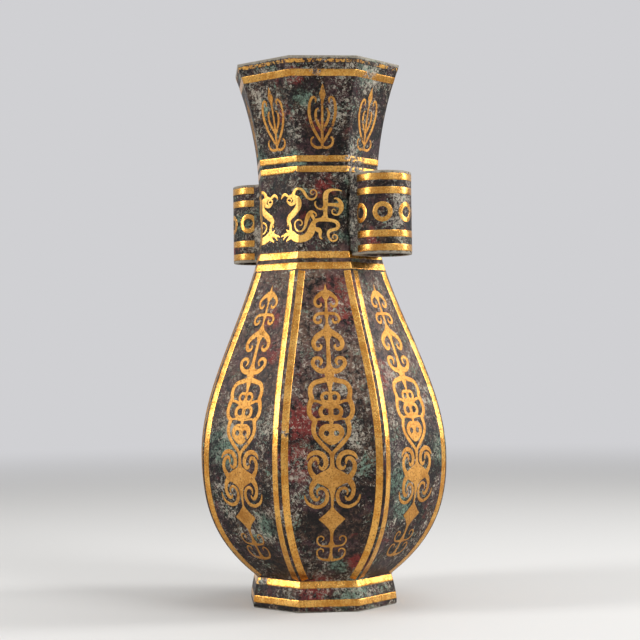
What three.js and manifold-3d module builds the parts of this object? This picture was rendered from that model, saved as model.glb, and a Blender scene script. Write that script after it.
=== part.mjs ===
import * as THREE from 'three';
import { mergeVertices } from 'three/addons/utils/BufferGeometryUtils.js';
import Module from 'manifold-3d';

// A cast bronze hu vase: an eight-sided pear-shaped bottle with a flared mouth and a foot ring, two open
// tubular ears, and gold strips and scrolls let into grooves so that they lie flush with the bronze.
// Lengths are in millimetres. The foot stands on Z = 0 and the axis is Z. The front panel faces -Y and the
// ears stand on the +X and -X panels. A panel's apothem is the distance from the axis to its middle.

const solids = await Module();
solids.setup();

// Plan of the vessel
const panelCount = 8;

// Outside of the vessel, from the foot up
const footApothem = 31.8;
const footHeight = 13.4;
const footTopApothem = 29.6;
const bellyHeight = 66;
const bellyApothem = 53.6;
const shoulderHeight = 156;
const shoulderApothem = 26.9;
const collarLength = 28;
const collarApothem = 26;
const vaseHeight = 240;
const lipApothem = 36.3;
const edgeRounding = 0.6;

// Slopes of the wall, in millimetres outward for each millimetre of height
const footSlope = -0.3;
const bodyStartSlope = 1.2;
const shoulderSlope = -0.25;
const lipSlope = 0.36;

// Casting and the plate that closes the bottom
const wallThickness = 2.8;
const footRimWidth = 4;
const plateThickness = 2;
const plateRecess = 8.7;
const ledgeWidth = 2.2;
const ledgeThickness = 4;
const seatClearance = 0.3;

// Gold inlay, and the groove or pocket that holds it
const goldThickness = 0.7;
const inlayClearance = 0.2;

// Ears: open tubes that stand beside the collar, each on a flared saddle
const earDistance = 37;
const earRadius = 11.3;
const earWall = 2;
const earHeight = 36;
const earDrop = 2;
const saddleWidthAtVessel = 18;
const saddleWidthAtEar = 14;
const earSegments = 16;

// Gold on the ears
const earBandWidth = 3;
const earBandEdge = 1.2;
const earBandPitch = 6;
const earBandHalfAngle = 136;
const earRingCount = 5;
const earRingPitch = 55;
const earRingOuterRadius = 4.7;
const earRingInnerRadius = 2.3;
const earRingSegments = 8;

// Gold bands round the vessel: the edge of each pair's first band, the widths and the gap between the two
const lipToBand = 0.8;
const rimBandWidth = 2.4;
const rimBandGap = 2.4;
const lowerRimBandWidth = 3;
const earToNeckBand = 0.6;
const neckBandWidth = 2.8;
const neckBandGap = 1.7;
const shoulderToBand = 0;
const collarBandWidth = 3.2;
const collarBandGap = 1.6;
const footBandWidth = 3.1;
const footBandGap = 4.7;
const footBandEdge = 2.4;

// Gold stripes beside the corners of the body
const stripeWidth = 3;
const stripeToCorner = 0.8;

// Scrolls on the body panels and the dragons of the collar
const scrollToFootBand = 9.8;
const scrollToCollarBand = 6.8;
const scrollHalfWidth = 11.8;
const dragonToBand = 4.2;
const dragonHeight = 23.6;
const dragonLength = 29.5;
const cornerOverlap = 0.2;

const turn = (2 * Math.PI) / panelCount;
const halfPanelTangent = Math.tan(turn / 2);
const earBottom = shoulderHeight - earDrop;
const earTop = earBottom + earHeight;
const plateSeat = plateRecess + plateThickness + seatClearance;
const recessApothem = footApothem - footRimWidth;

const stations = [
  { z: 0, apothem: footApothem, below: 0, above: 0 },
  { z: footHeight, apothem: footTopApothem, below: footSlope, above: bodyStartSlope },
  { z: bellyHeight, apothem: bellyApothem, below: 0, above: 0 },
  { z: shoulderHeight, apothem: shoulderApothem, below: shoulderSlope, above: shoulderSlope },
  { z: shoulderHeight + collarLength, apothem: collarApothem, below: 0, above: 0 },
  { z: vaseHeight, apothem: lipApothem, below: lipSlope, above: lipSlope },
];

const ringsPerSpan = [2, 4, 5, 1, 4];

// The apothem of the outside at a height: a smooth cubic between the two stations around it.
function apothemAt(z) {
  const last = stations.length - 1;
  const above = stations.findIndex((station, index) => index > 0 && z <= station.z);
  const upper = stations[above < 0 ? last : above];
  const lower = stations[(above < 0 ? last : above) - 1];
  const span = upper.z - lower.z;
  const t = THREE.MathUtils.clamp((z - lower.z) / span, 0, 1);
  const rise = t * t * (3 - 2 * t);
  const bend = span * (lower.above * t * (1 - t) * (1 - t) - upper.below * t * t * (1 - t));
  return lower.apothem * (1 - rise) + upper.apothem * rise + bend;
}

// Horizontal distance through a layer of this thickness, which grows where the wall leans.
function levelThickness(z, thickness) {
  const slope = (apothemAt(z + 0.5) - apothemAt(z - 0.5)) / 1;
  return thickness * Math.hypot(1, slope);
}

// Heights of the rings that the outside is lofted through.
function ringHeights() {
  const heights = [0];
  ringsPerSpan.forEach((count, index) => {
    const start = stations[index].z;
    const end = stations[index + 1].z;
    for (let step = 1; step <= count; step += 1) {
      heights.push(THREE.MathUtils.lerp(start, end, step / count));
    }
  });
  return heights;
}

// The corners of the eight-sided plan at one height, anticlockwise from above.
function planRing({ apothem, z }) {
  const reach = apothem / Math.cos(turn / 2);
  const ring = [];
  for (let panel = 0; panel < panelCount; panel += 1) {
    const angle = (panel + 0.5) * turn - Math.PI / 2;
    ring.push(new THREE.Vector3(reach * Math.cos(angle), reach * Math.sin(angle), z));
  }
  return ring;
}

// Lofts rings into a solid. A hollow section comes back round to its first ring; others get flat ends.
function loft(section, hollow) {
  const rings = section.map(planRing);
  const size = rings[0].length;
  const index = [];
  const lastRow = hollow ? rings.length : rings.length - 1;
  for (let row = 0; row < lastRow; row += 1) {
    const low = row * size;
    const high = ((row + 1) % rings.length) * size;
    for (let i = 0; i < size; i += 1) {
      const next = (i + 1) % size;
      index.push(low + i, low + next, high + next);
      index.push(low + i, high + next, high + i);
    }
  }
  if (!hollow) {
    const top = (rings.length - 1) * size;
    for (let i = 1; i < size - 1; i += 1) {
      index.push(0, i + 1, i);
      index.push(top, top + i, top + i + 1);
    }
  }
  const geometry = new THREE.BufferGeometry();
  geometry.setFromPoints(rings.flat());
  geometry.setIndex(index);
  return geometry;
}

function solidOf(source) {
  const geometry = source.clone();
  geometry.deleteAttribute('normal');
  geometry.deleteAttribute('uv');
  const merged = mergeVertices(geometry, 1e-4);
  return new solids.Manifold(new solids.Mesh({
    numProp: 3,
    vertProperties: new Float32Array(merged.attributes.position.array),
    triVerts: new Uint32Array(merged.index.array),
  }));
}

function geometryOf(solid) {
  const { numProp, vertProperties, triVerts } = solid.getMesh();
  const positions = new Float32Array((vertProperties.length / numProp) * 3);
  for (let i = 0; i < positions.length / 3; i += 1) {
    positions[3 * i] = vertProperties[numProp * i];
    positions[3 * i + 1] = vertProperties[numProp * i + 1];
    positions[3 * i + 2] = vertProperties[numProp * i + 2];
  }
  const geometry = new THREE.BufferGeometry();
  geometry.setAttribute('position', new THREE.BufferAttribute(positions, 3));
  geometry.setIndex(new THREE.BufferAttribute(new Uint32Array(triVerts), 1));
  geometry.computeVertexNormals();
  return geometry;
}

function joined(parts) {
  return parts.reduce((whole, part) => whole.add(part));
}

// The layer of the vessel from this deep below its outside to this high above it.
function vesselLayer(depth, height) {
  const levels = ringHeights();
  const outer = levels.map((z) => ({ apothem: apothemAt(z) + height, z }));
  const inner = levels.map((z) => ({ apothem: apothemAt(z) - levelThickness(z, depth), z }));
  return solidOf(loft([...outer, ...inner.reverse()], true));
}

// A level slab that is wide enough to cross the whole vase.
function slab(bottom, top) {
  const reach = 4 * bellyApothem;
  const box = new THREE.BoxGeometry(reach, reach, top - bottom);
  box.translate(0, 0, (bottom + top) / 2);
  return solidOf(box);
}

// A prism that stands on one panel. The shape's X runs along the panel and its Y runs up.
function panelPrism(shape, panel) {
  const start = collarApothem / 2;
  const prism = new THREE.ExtrudeGeometry(shape, {
    depth: 2 * bellyApothem - start,
    bevelEnabled: false,
  });
  prism.rotateX(Math.PI / 2);
  prism.translate(0, -start, 0);
  prism.rotateZ(panel * turn);
  return solidOf(prism);
}

// Moves each point of an anticlockwise outline outward by the same distance from both its edges.
function grownOutline(points, distance) {
  return points.map((point, index) => {
    const before = points[(index + points.length - 1) % points.length];
    const after = points[(index + 1) % points.length];
    const edgeIn = point.clone().sub(before).normalize();
    const edgeOut = after.clone().sub(point).normalize();
    const normalIn = new THREE.Vector2(edgeIn.y, -edgeIn.x);
    const normalOut = new THREE.Vector2(edgeOut.y, -edgeOut.x);
    const share = distance / Math.max(1 + normalIn.dot(normalOut), 0.4);
    return point.clone().addScaledVector(normalIn.add(normalOut), share);
  });
}

// Bands: a level strip all round the vessel

function bandEdges() {
  const upperRimTop = vaseHeight - lipToBand;
  const lowerRimTop = upperRimTop - rimBandWidth - rimBandGap;
  const lowerNeckBottom = earTop + earToNeckBand;
  const upperNeckBottom = lowerNeckBottom + neckBandWidth + neckBandGap;
  const upperCollarTop = shoulderHeight + shoulderToBand;
  const lowerCollarTop = upperCollarTop - collarBandWidth - collarBandGap;
  const upperFootBottom = footBandEdge + footBandWidth + footBandGap;
  return {
    rim_band_upper: [upperRimTop - rimBandWidth, upperRimTop],
    rim_band_lower: [lowerRimTop - lowerRimBandWidth, lowerRimTop],
    neck_band_upper: [upperNeckBottom, upperNeckBottom + neckBandWidth],
    neck_band_lower: [lowerNeckBottom, lowerNeckBottom + neckBandWidth],
    collar_band_upper: [upperCollarTop - collarBandWidth, upperCollarTop],
    collar_band_lower: [lowerCollarTop - collarBandWidth, lowerCollarTop],
    foot_band_upper: [upperFootBottom, upperFootBottom + footBandWidth],
    foot_band_lower: [footBandEdge, footBandEdge + footBandWidth],
  };
}

const bands = bandEdges();
const stripeBottom = bands.foot_band_upper[1] + 3 * inlayClearance;
const stripeTop = bands.collar_band_lower[0] - 3 * inlayClearance;

// A stripe keeps its distance from the corner all the way up the body.
function stripeShape(edge, extra) {
  const outerSide = [];
  const innerSide = [];
  const bottom = stripeBottom - extra;
  const top = stripeTop + extra;
  const between = ringHeights().filter((z) => z > bottom + 1 && z < top - 1);
  for (const z of [bottom, ...between, top]) {
    const corner = apothemAt(z) * halfPanelTangent - stripeToCorner;
    outerSide.push(new THREE.Vector2(edge * (corner + extra), z));
    innerSide.push(new THREE.Vector2(edge * (corner - stripeWidth - extra), z));
  }
  return new THREE.Shape([...outerSide, ...innerSide.reverse()]);
}

// Right half of the panel scroll from its foot to its tip, as [across, up] at the size it is drawn at:
// two small scroll pairs, the lozenge, two large pairs, the lobed cartouche, an upturned pair and spades.
const scrollDrawing = [
  [4.8, 0.6], [5.2, 4.8], [1.1, 7], [5.2, 9.4], [1.2, 13.4], [5.5, 18.9], [1.3, 24.4],
  [10.4, 26], [11.8, 31], [8.7, 37.6], [10.9, 43], [1.7, 47.6], [8.4, 56], [10.3, 64.4],
  [7.6, 69.4], [8.2, 75.2], [1.7, 78.6], [7.2, 84.4], [1.1, 88.8], [6.8, 91.6], [1.2, 100],
  [5, 103.6], [1.1, 106.8], [5.2, 109.6],
];
const scrollDrawingHeight = 118.2;

function scrollShape(extra) {
  const bottom = bands.foot_band_upper[1] + scrollToFootBand;
  const top = bands.collar_band_lower[0] - scrollToCollarBand;
  const widest = Math.max(...scrollDrawing.map(([across]) => across));
  const toPanel = ([across, up], side) => new THREE.Vector2(
    (side * across * scrollHalfWidth) / widest,
    bottom + (up * (top - bottom)) / scrollDrawingHeight,
  );
  const right = scrollDrawing.map((spot) => toPanel(spot, 1));
  const left = scrollDrawing.map((spot) => toPanel(spot, -1)).reverse();
  const outline = [toPanel([0, 0], 1), ...right, toPanel([0, scrollDrawingHeight], 1), ...left];
  return new THREE.Shape(grownOutline(outline, extra));
}

// Outline of one dragon from its snout over the crest, down the back, round the tail and along the belly,
// as [along, up] at the size it is drawn at. Along is measured on the collar from the middle of the front
// panel, round the corner and over the next panel.
const dragonDrawing = [
  [0.6, 19.8], [6.4, 20.6], [10.8, 23.4], [14.6, 18.8], [18.6, 18.4], [18.4, 22], [20, 17],
  [13.4, 16.6], [12, 14], [8, 7.8], [9.6, 3.4], [14.4, 3.4], [17, 10.2], [21.2, 10.6], [21, 22],
  [28.6, 23.2], [24, 19.8], [23.8, 10.6], [29.6, 8.4], [25.6, 3.8], [28.6, 0.2], [22.6, 2.6],
  [23.8, 6.4], [19.8, 7], [17.6, 0.6], [13, -1], [1.4, -0.4], [5.4, 2.4], [4.4, 7], [8.8, 14.6],
  [4.6, 16.4], [0.6, 18.2],
];
const dragonDrawingSize = { length: 29.6, bottom: -1, top: 23.4 };

// One dragon in the layer: its outline on the two panels that it crosses, cut at the corner between them.
function dragonSolid(layer, extra) {
  const bottom = bands.collar_band_upper[1] + dragonToBand;
  const top = bottom + dragonHeight;
  const panelWidth = 2 * halfPanelTangent * apothemAt((bottom + top) / 2);
  const { length, bottom: drawnBottom, top: drawnTop } = dragonDrawingSize;
  const onCollar = dragonDrawing.map(([along, up]) => new THREE.Vector2(
    (along * dragonLength) / length,
    THREE.MathUtils.mapLinear(up, drawnBottom, drawnTop, bottom, top),
  )).reverse();
  const grown = grownOutline(onCollar, extra);
  const beyondCorner = grown.map((spot) => new THREE.Vector2(spot.x - panelWidth, spot.y));
  const head = panelPrism(new THREE.Shape(grown), 0).intersect(frontSector(cornerOverlap));
  const tail = panelPrism(new THREE.Shape(beyondCorner), 1).subtract(frontSector(0));
  return head.add(tail).intersect(layer);
}

// The wedge of space in front of the front panel, out from the axis and a little past its corners.
function frontSector(past) {
  const reach = 3 * bellyApothem;
  const half = reach * halfPanelTangent + past;
  const wedge = new THREE.Shape([
    new THREE.Vector2(0, 0),
    new THREE.Vector2(-half, -reach),
    new THREE.Vector2(half, -reach),
  ]);
  return solidOf(new THREE.ExtrudeGeometry(wedge, { depth: vaseHeight, bevelEnabled: false }));
}

// Turns a solid round the vase's axis, or mirrors it to the other side of the front panel.
function placed(solid, angle, mirrored = false) {
  const geometry = geometryOf(solid);
  if (mirrored) {
    geometry.scale(-1, 1, 1);
    const order = geometry.index.array;
    for (let i = 0; i < order.length; i += 3) {
      [order[i], order[i + 1]] = [order[i + 1], order[i]];
    }
  }
  geometry.rotateZ(angle);
  return solidOf(geometry);
}

// Every gold piece of the vessel for one layer, grown by the extra where it makes the groove.
function vesselInlays(layer, extra) {
  const pieces = {};
  for (const [name, [bottom, top]] of Object.entries(bands)) {
    pieces[name] = layer.intersect(slab(bottom - extra, top + extra));
  }
  const stripes = [-1, 1].map((edge) => panelPrism(stripeShape(edge, extra), 0).intersect(layer));
  const scroll = panelPrism(scrollShape(extra), 0).intersect(layer);
  for (let panel = 0; panel < panelCount; panel += 1) {
    const number = panel + 1;
    pieces[`corner_stripe_${number}_left`] = placed(stripes[0], panel * turn);
    pieces[`corner_stripe_${number}_right`] = placed(stripes[1], panel * turn);
    pieces[`panel_scroll_${number}`] = placed(scroll, panel * turn);
  }
  const dragon = dragonSolid(layer, extra);
  pieces.collar_dragon_front_right = dragon;
  pieces.collar_dragon_front_left = placed(dragon, 0, true);
  pieces.collar_dragon_back_left = placed(dragon, Math.PI);
  pieces.collar_dragon_back_right = placed(dragon, Math.PI, true);
  return pieces;
}

// The casting: outside, rounded lip, inside, and the stepped underside that takes the bottom plate.
function vesselCasting() {
  const levels = ringHeights();
  const outside = levels.map((z) => ({ apothem: apothemAt(z), z }));
  outside[0] = { apothem: footApothem, z: edgeRounding };
  outside[outside.length - 1] = { apothem: apothemAt(vaseHeight - edgeRounding), z: vaseHeight - edgeRounding };
  const lip = [
    { apothem: lipApothem - edgeRounding, z: vaseHeight },
    { apothem: lipApothem - wallThickness + edgeRounding, z: vaseHeight },
  ];
  const ledgeTop = plateSeat + ledgeThickness;
  const inside = levels
    .filter((z) => z > ledgeTop + wallThickness && z < vaseHeight - 1)
    .filter((z, index) => index % 2 === 0 || z > shoulderHeight)
    .map((z) => ({ apothem: apothemAt(z) - levelThickness(z, wallThickness), z }))
    .reverse();
  inside.unshift({ apothem: lipApothem - wallThickness - edgeRounding / 2, z: vaseHeight - edgeRounding });
  const underside = [
    { apothem: recessApothem - ledgeWidth, z: ledgeTop },
    { apothem: recessApothem - ledgeWidth, z: plateSeat },
    { apothem: recessApothem, z: plateSeat },
    { apothem: recessApothem, z: edgeRounding },
    { apothem: recessApothem + edgeRounding, z: 0 },
    { apothem: footApothem - edgeRounding, z: 0 },
  ];
  return solidOf(loft([...outside, ...lip, ...inside, ...underside], true));
}

// The bottom plate is soldered up against the ledge inside the foot ring.
function bottomPlate() {
  const apothem = recessApothem - seatClearance;
  return solidOf(loft([
    { apothem, z: plateRecess },
    { apothem, z: plateRecess + plateThickness },
  ], false));
}

// Ears, made on the +X panel

function earTube(outer, inner, bottom, top) {
  const profile = [
    new THREE.Vector2(inner, bottom),
    new THREE.Vector2(outer, bottom),
    new THREE.Vector2(outer, top),
    new THREE.Vector2(inner, top),
    new THREE.Vector2(inner, bottom),
  ];
  const tube = new THREE.LatheGeometry(profile, earSegments);
  tube.rotateX(Math.PI / 2);
  tube.translate(earDistance, 0, 0);
  return solidOf(tube);
}

function earCore(radius, bottom, top) {
  const core = new THREE.CylinderGeometry(radius, radius, top - bottom, earSegments);
  core.rotateX(Math.PI / 2);
  core.translate(earDistance, 0, (bottom + top) / 2);
  return solidOf(core);
}

// The saddle reaches from inside the wall of the vessel to inside the wall of the tube, and flares.
function earSaddle() {
  const innerX = collarApothem / 2;
  const outerX = earDistance - earRadius + earWall + (saddleWidthAtEar / 2) ** 2 / (2 * earRadius);
  const flareX = collarApothem;
  const plan = new THREE.Shape([
    new THREE.Vector2(innerX, -saddleWidthAtVessel / 2),
    new THREE.Vector2(flareX, -saddleWidthAtVessel / 2),
    new THREE.Vector2(outerX, -saddleWidthAtEar / 2),
    new THREE.Vector2(outerX, saddleWidthAtEar / 2),
    new THREE.Vector2(flareX, saddleWidthAtVessel / 2),
    new THREE.Vector2(innerX, saddleWidthAtVessel / 2),
  ]);
  const block = new THREE.ExtrudeGeometry(plan, { depth: earHeight, bevelEnabled: false });
  block.translate(0, 0, earBottom);
  return solidOf(block);
}

// The vessel's outside, filled and grown by the clearance that its neighbours keep.
function vesselEnvelope() {
  const levels = ringHeights().filter((z) => z > bellyHeight);
  return solidOf(loft(levels.map((z) => ({ apothem: apothemAt(z) + seatClearance, z })), false));
}

// The side of the ear that faces the vessel, where no gold runs.
function earBackWedge(halfAngle) {
  const reach = 3 * earRadius;
  const open = THREE.MathUtils.degToRad(halfAngle);
  const wedge = new THREE.Shape([
    new THREE.Vector2(0, 0),
    new THREE.Vector2(reach * Math.cos(open), reach * Math.sin(open)),
    new THREE.Vector2(reach * Math.cos(open), -reach * Math.sin(open)),
  ]);
  const prism = new THREE.ExtrudeGeometry(wedge, { depth: vaseHeight, bevelEnabled: false });
  prism.translate(earDistance, 0, 0);
  return solidOf(prism);
}

// A ring that looks out of the tube at this angle from the outward side.
function earRingPrism(angle, extra) {
  const face = new THREE.Shape();
  const hole = new THREE.Path();
  for (const [path, radius] of [[face, earRingOuterRadius + extra], [hole, earRingInnerRadius - extra]]) {
    for (let step = 0; step < earRingSegments; step += 1) {
      const around = (2 * Math.PI * step) / earRingSegments;
      const spot = [radius * Math.cos(around), radius * Math.sin(around)];
      if (step === 0) {
        path.moveTo(...spot);
      } else {
        path.lineTo(...spot);
      }
    }
    path.closePath();
  }
  face.holes.push(hole);
  const prism = new THREE.ExtrudeGeometry(face, { depth: earRadius, bevelEnabled: false });
  prism.rotateX(Math.PI / 2);
  prism.translate(0, -earRadius / 2, 0);
  prism.rotateZ(Math.PI / 2 + THREE.MathUtils.degToRad(angle));
  prism.translate(earDistance, 0, earBottom + earHeight / 2);
  return solidOf(prism);
}

function earInlays(layer, extra) {
  const back = earBackWedge(earBandHalfAngle + THREE.MathUtils.radToDeg(extra / earRadius));
  const starts = [
    earTop - earBandEdge - earBandWidth,
    earTop - earBandEdge - earBandWidth - earBandPitch,
    earBottom + earBandEdge + earBandPitch,
    earBottom + earBandEdge,
  ];
  const ringBands = starts.map((bottom) => layer
    .intersect(slab(bottom - extra, bottom + earBandWidth + extra))
    .subtract(back));
  const rings = [];
  for (let i = 0; i < earRingCount; i += 1) {
    const angle = (i - (earRingCount - 1) / 2) * earRingPitch;
    rings.push(earRingPrism(angle, extra).intersect(layer));
  }
  return { ringBands, rings };
}

function earCasting() {
  const tube = earCore(earRadius, earBottom, earTop);
  const bore = earCore(earRadius - earWall, earBottom - 1, earTop + 1);
  return tube.add(earSaddle()).subtract(bore).subtract(vesselEnvelope());
}

// Materials

function bronze(colour, roughness) {
  return new THREE.MeshStandardMaterial({ color: colour, roughness, metalness: 0.6 });
}

function gold(colour) {
  return new THREE.MeshStandardMaterial({ color: colour, roughness: 0.34, metalness: 1 });
}

const vesselBronze = bronze(0x2e2626, 0.62);
const earBronze = bronze(0x37322e, 0.66);
const plateBronze = bronze(0x2b2a26, 0.75);
const bandGold = gold(0xc9983a);
const scrollGold = gold(0xb88530);

const vase = new THREE.Group();

function addPiece(name, solid, material) {
  const piece = new THREE.Mesh(geometryOf(solid), material);
  piece.name = name;
  vase.add(piece);
}

const grooves = vesselInlays(vesselLayer(goldThickness + inlayClearance, 1), inlayClearance);
const cutVessel = vesselCasting().subtract(joined(Object.values(grooves)));
addPiece('vessel_shell', cutVessel, vesselBronze);
addPiece('base_plate', bottomPlate(), plateBronze);

const vesselGold = vesselInlays(vesselLayer(goldThickness, 0), 0);
for (const [name, solid] of Object.entries(vesselGold)) {
  addPiece(name, solid, name.includes('band') || name.includes('stripe') ? bandGold : scrollGold);
}

const groovedLayer = earTube(earRadius + 1, earRadius - goldThickness - inlayClearance, earBottom, earTop);
const goldLayer = earTube(earRadius, earRadius - goldThickness, earBottom, earTop);
const earGrooves = earInlays(groovedLayer, inlayClearance);
const earGold = earInlays(goldLayer, 0);
const cutEar = earCasting().subtract(joined([...earGrooves.ringBands, ...earGrooves.rings]));
for (const [side, angle] of [['right', 0], ['left', Math.PI]]) {
  addPiece(`ear_tube_${side}`, placed(cutEar, angle), earBronze);
  earGold.ringBands.forEach((solid, index) => {
    addPiece(`ear_band_${side}_${index + 1}`, placed(solid, angle), bandGold);
  });
  earGold.rings.forEach((solid, index) => {
    addPiece(`ear_ring_${side}_${index + 1}`, placed(solid, angle), scrollGold);
  });
}

export default vase;
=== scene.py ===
import bpy
import math
from mathutils import Matrix, Vector


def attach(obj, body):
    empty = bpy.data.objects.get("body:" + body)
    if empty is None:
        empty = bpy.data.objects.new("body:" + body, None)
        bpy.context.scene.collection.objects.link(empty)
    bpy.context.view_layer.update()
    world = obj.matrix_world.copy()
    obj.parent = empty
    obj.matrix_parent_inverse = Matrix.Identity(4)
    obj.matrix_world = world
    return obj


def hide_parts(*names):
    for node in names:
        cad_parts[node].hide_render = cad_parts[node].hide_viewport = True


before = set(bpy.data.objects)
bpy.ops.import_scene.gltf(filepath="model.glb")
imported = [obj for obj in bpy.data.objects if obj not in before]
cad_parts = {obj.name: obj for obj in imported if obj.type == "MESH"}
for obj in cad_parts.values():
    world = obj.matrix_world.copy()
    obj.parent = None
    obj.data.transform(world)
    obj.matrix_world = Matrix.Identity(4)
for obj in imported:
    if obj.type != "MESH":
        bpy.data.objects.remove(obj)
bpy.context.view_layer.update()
mm = 0.001
print("frame loaded:", len(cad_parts), "solids")


class Wire:
    # one socket of a node tree; sums and products of it add Math nodes to the same tree
    def __init__(self, tree, socket=None):
        self.tree = tree
        self.socket = socket

    def node(self, kind, settings=None, sockets=None, out=0):
        made = self.tree.nodes.new(kind)
        for label, value in (settings or {}).items():
            if label == "stops":
                for index, (place, colour) in enumerate(value):
                    stop = made.color_ramp.elements[index] if index < 2 else made.color_ramp.elements.new(place)
                    stop.position, stop.color = place, colour
            else:
                setattr(made, label, value)
        for label, value in (sockets or {}).items():
            if isinstance(value, Wire):
                self.tree.links.new(value.socket, made.inputs[label])
            elif value is not None:
                made.inputs[label].default_value = value
        return Wire(self.tree, made.outputs[out])

    def other(self, out):
        return Wire(self.tree, self.socket.node.outputs[out])

    def math(self, operation, *values):
        return self.node("ShaderNodeMath", {"operation": operation}, dict(enumerate(values)))

    def __add__(self, value): return self.math("ADD", self, value)
    def __radd__(self, value): return self.math("ADD", value, self)
    def __sub__(self, value): return self.math("SUBTRACT", self, value)
    def __rsub__(self, value): return self.math("SUBTRACT", value, self)
    def __mul__(self, value): return self.math("MULTIPLY", self, value)
    def __rmul__(self, value): return self.math("MULTIPLY", value, self)
    def __truediv__(self, value): return self.math("DIVIDE", self, value)

    def above(self, low, high):
        # 0 under low, 1 over high, and a soft step between them
        return self.node("ShaderNodeMapRange", {"interpolation_type": "SMOOTHSTEP"},
                         {"Value": self, "From Min": low, "From Max": high})

    def blend(self, base, top):
        # self is the share of the top colour; a Mix node's colours are its sockets 6, 7 and, going out, 2
        return self.node("ShaderNodeMix", {"data_type": "RGBA"}, {0: self, 6: base, 7: top}, out=2)


def tint(red, green, blue):
    # a colour as it is seen on a screen, 0 to 255, as the shader wants it
    shares = [value / 255 for value in (red, green, blue)]
    linear = [share / 12.92 if share <= 0.04045 else ((share + 0.055) / 1.055) ** 2.4 for share in shares]
    return (*linear, 1)


def addObject(name, data):
    made = bpy.data.objects.new(name, data)
    bpy.context.scene.collection.objects.link(made)
    return made


def helperPoints(name, points, extras=None):
    # loose points in a fixed order, which a Geometry Nodes tree samples by their index
    mesh = bpy.data.meshes.new(name)
    mesh.from_pydata([tuple(point) for point in points], [], [])
    for label, values in (extras or {}).items():
        vector = not isinstance(values[0], (int, float))
        attribute = mesh.attributes.new(label, "FLOAT_VECTOR" if vector else "FLOAT", "POINT")
        for item, value in zip(attribute.data, values):
            if vector:
                item.vector = value
            else:
                item.value = value
    return addObject(name, mesh)


def helperCurve(name, strokes):
    # strokes are rows of (across, up, half width) in millimetres; a closed one ends with the word "closed"
    curve = bpy.data.curves.new(name, "CURVE")
    curve.dimensions = "3D"
    for stroke in strokes:
        closed = stroke[-1] == "closed"
        points = stroke[:-1] if closed else stroke
        spline = curve.splines.new("POLY")
        spline.points.add(len(points) - 1)
        for point, (across, up, half) in zip(spline.points, points):
            point.co = (across * mm, up * mm, 0, 1)
            point.radius = half * mm
        spline.use_cyclic_u = closed
    return addObject(name, curve)


def newTree(name, inputs):
    # inputs are rows of (name, socket type, default)
    tree = bpy.data.node_groups.new(name, "GeometryNodeTree")
    tree.interface.new_socket(name="Geometry", in_out="OUTPUT", socket_type="NodeSocketGeometry")
    for label, kind, default in inputs:
        socket = tree.interface.new_socket(name=label, in_out="INPUT", socket_type=kind)
        if default is not None:
            socket.default_value = default
    start = Wire(tree).node("NodeGroupInput")
    return tree, start


def endTree(geometry, material):
    smooth = geometry.node("GeometryNodeSetShadeSmooth", {}, {"Geometry": geometry})
    real = smooth.node("GeometryNodeRealizeInstances", {}, {"Geometry": smooth})
    painted = real.node("GeometryNodeSetMaterial", {}, {"Geometry": real, "Material": material})
    output = geometry.tree.nodes.new("NodeGroupOutput")
    geometry.tree.links.new(painted.socket, output.inputs[0])


def runTree(tree, name, values):
    # evaluates the tree once and keeps the result as a plain mesh
    host = addObject(name + "_host", bpy.data.meshes.new(name + "_host"))
    modifier = host.modifiers.new("nodes", "NODES")
    modifier.node_group = tree
    for item in tree.interface.items_tree:
        if item.in_out == "INPUT" and item.name in values:
            modifier[item.identifier] = values[item.name]
    graph = bpy.context.evaluated_depsgraph_get()
    mesh = bpy.data.meshes.new_from_object(host.evaluated_get(graph), depsgraph=graph)
    host.modifiers.remove(modifier)
    bpy.data.objects.remove(host)
    mesh.name = name
    mesh.validate()
    return addObject(name, mesh)


def keepPiece(piece, node=None):
    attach(piece, "root")
    if node:
        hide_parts(node)
    return piece


vessel = {
    "stations": [(0, 31.8, 0, 0), (13.4, 29.6, -0.3, 1.2), (66, 53.6, 0, 0), (156, 26.9, -0.25, -0.25),
                 (184, 26.0, 0, 0), (240, 36.3, 0.36, 0.36)],  # height, apothem, slope below, slope above
    "wall": 2.8,
    "rounding": 0.8,  # of the lip and the foot
    "cornerRadius": 0.034,  # of the upright corners, as a share of the apothem
    "footRim": 4.0,
    "ledge": (11.0, 15.0, 25.6),  # bottom, top and apothem of the ledge over the bottom plate
    "unevenness": 0.12,  # how far the old casting wanders from true
    "rubbedLip": 2.4,  # how far down from the mouth the metal is rubbed
    "rowSteps": (1.3, 0.65, 3.0),  # between rows of faces outside, outside at the foot and lip, and inside
    "levelStep": 0.5,  # between the heights that drawings are laid by
}
height = vessel["stations"][-1][0]
panelCount = 8
panelTurn = 2 * math.pi / panelCount
halfTurn = math.tan(panelTurn / 2)


def apothemAt(z):
    stations = vessel["stations"]
    above = next((i for i in range(1, len(stations)) if z <= stations[i][0]), len(stations) - 1)
    low, high = stations[above - 1], stations[above]
    span = high[0] - low[0]
    t = min(max((z - low[0]) / span, 0), 1)
    rise = t * t * (3 - 2 * t)
    bend = span * (low[3] * t * (1 - t) ** 2 - high[2] * t * t * (1 - t))
    return low[1] * (1 - rise) + high[1] * rise + bend


def innerAt(z):
    slope = apothemAt(z + 0.5) - apothemAt(z - 0.5)
    return apothemAt(z) - vessel["wall"] * math.hypot(1, slope)


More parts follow.
